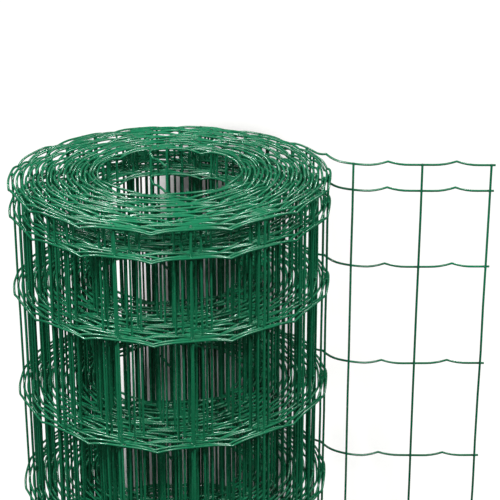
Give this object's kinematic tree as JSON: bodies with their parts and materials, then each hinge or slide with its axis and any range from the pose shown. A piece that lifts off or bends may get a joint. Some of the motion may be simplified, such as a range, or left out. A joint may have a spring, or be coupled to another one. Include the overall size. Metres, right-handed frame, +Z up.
{
  "type": "roll of welded wire mesh",
  "caption": "Upright roll of green plastic-coated welded wire fencing mesh with crimped line wires, an open bore and a loose outer end that runs straight out to one side.",
  "frame": {"origin": "on the floor, under the middle of the whole part's box; the roll's axis is 73 mm towards -X from it", "axes": "+Z up along the roll's axis; the loose end runs out along +X; +Y points to the back, away from the picture's camera"},
  "size_m": [0.446, 0.3, 0.822],
  "materials": {
    "coated_wire": "glossy green PVC coating over galvanised steel wire"
  },
  "bodies": {
    "root": {"mesh_roll": "coated_wire", "loose_end": "coated_wire", "inner_end": "coated_wire"}
  },
  "joints": []
}
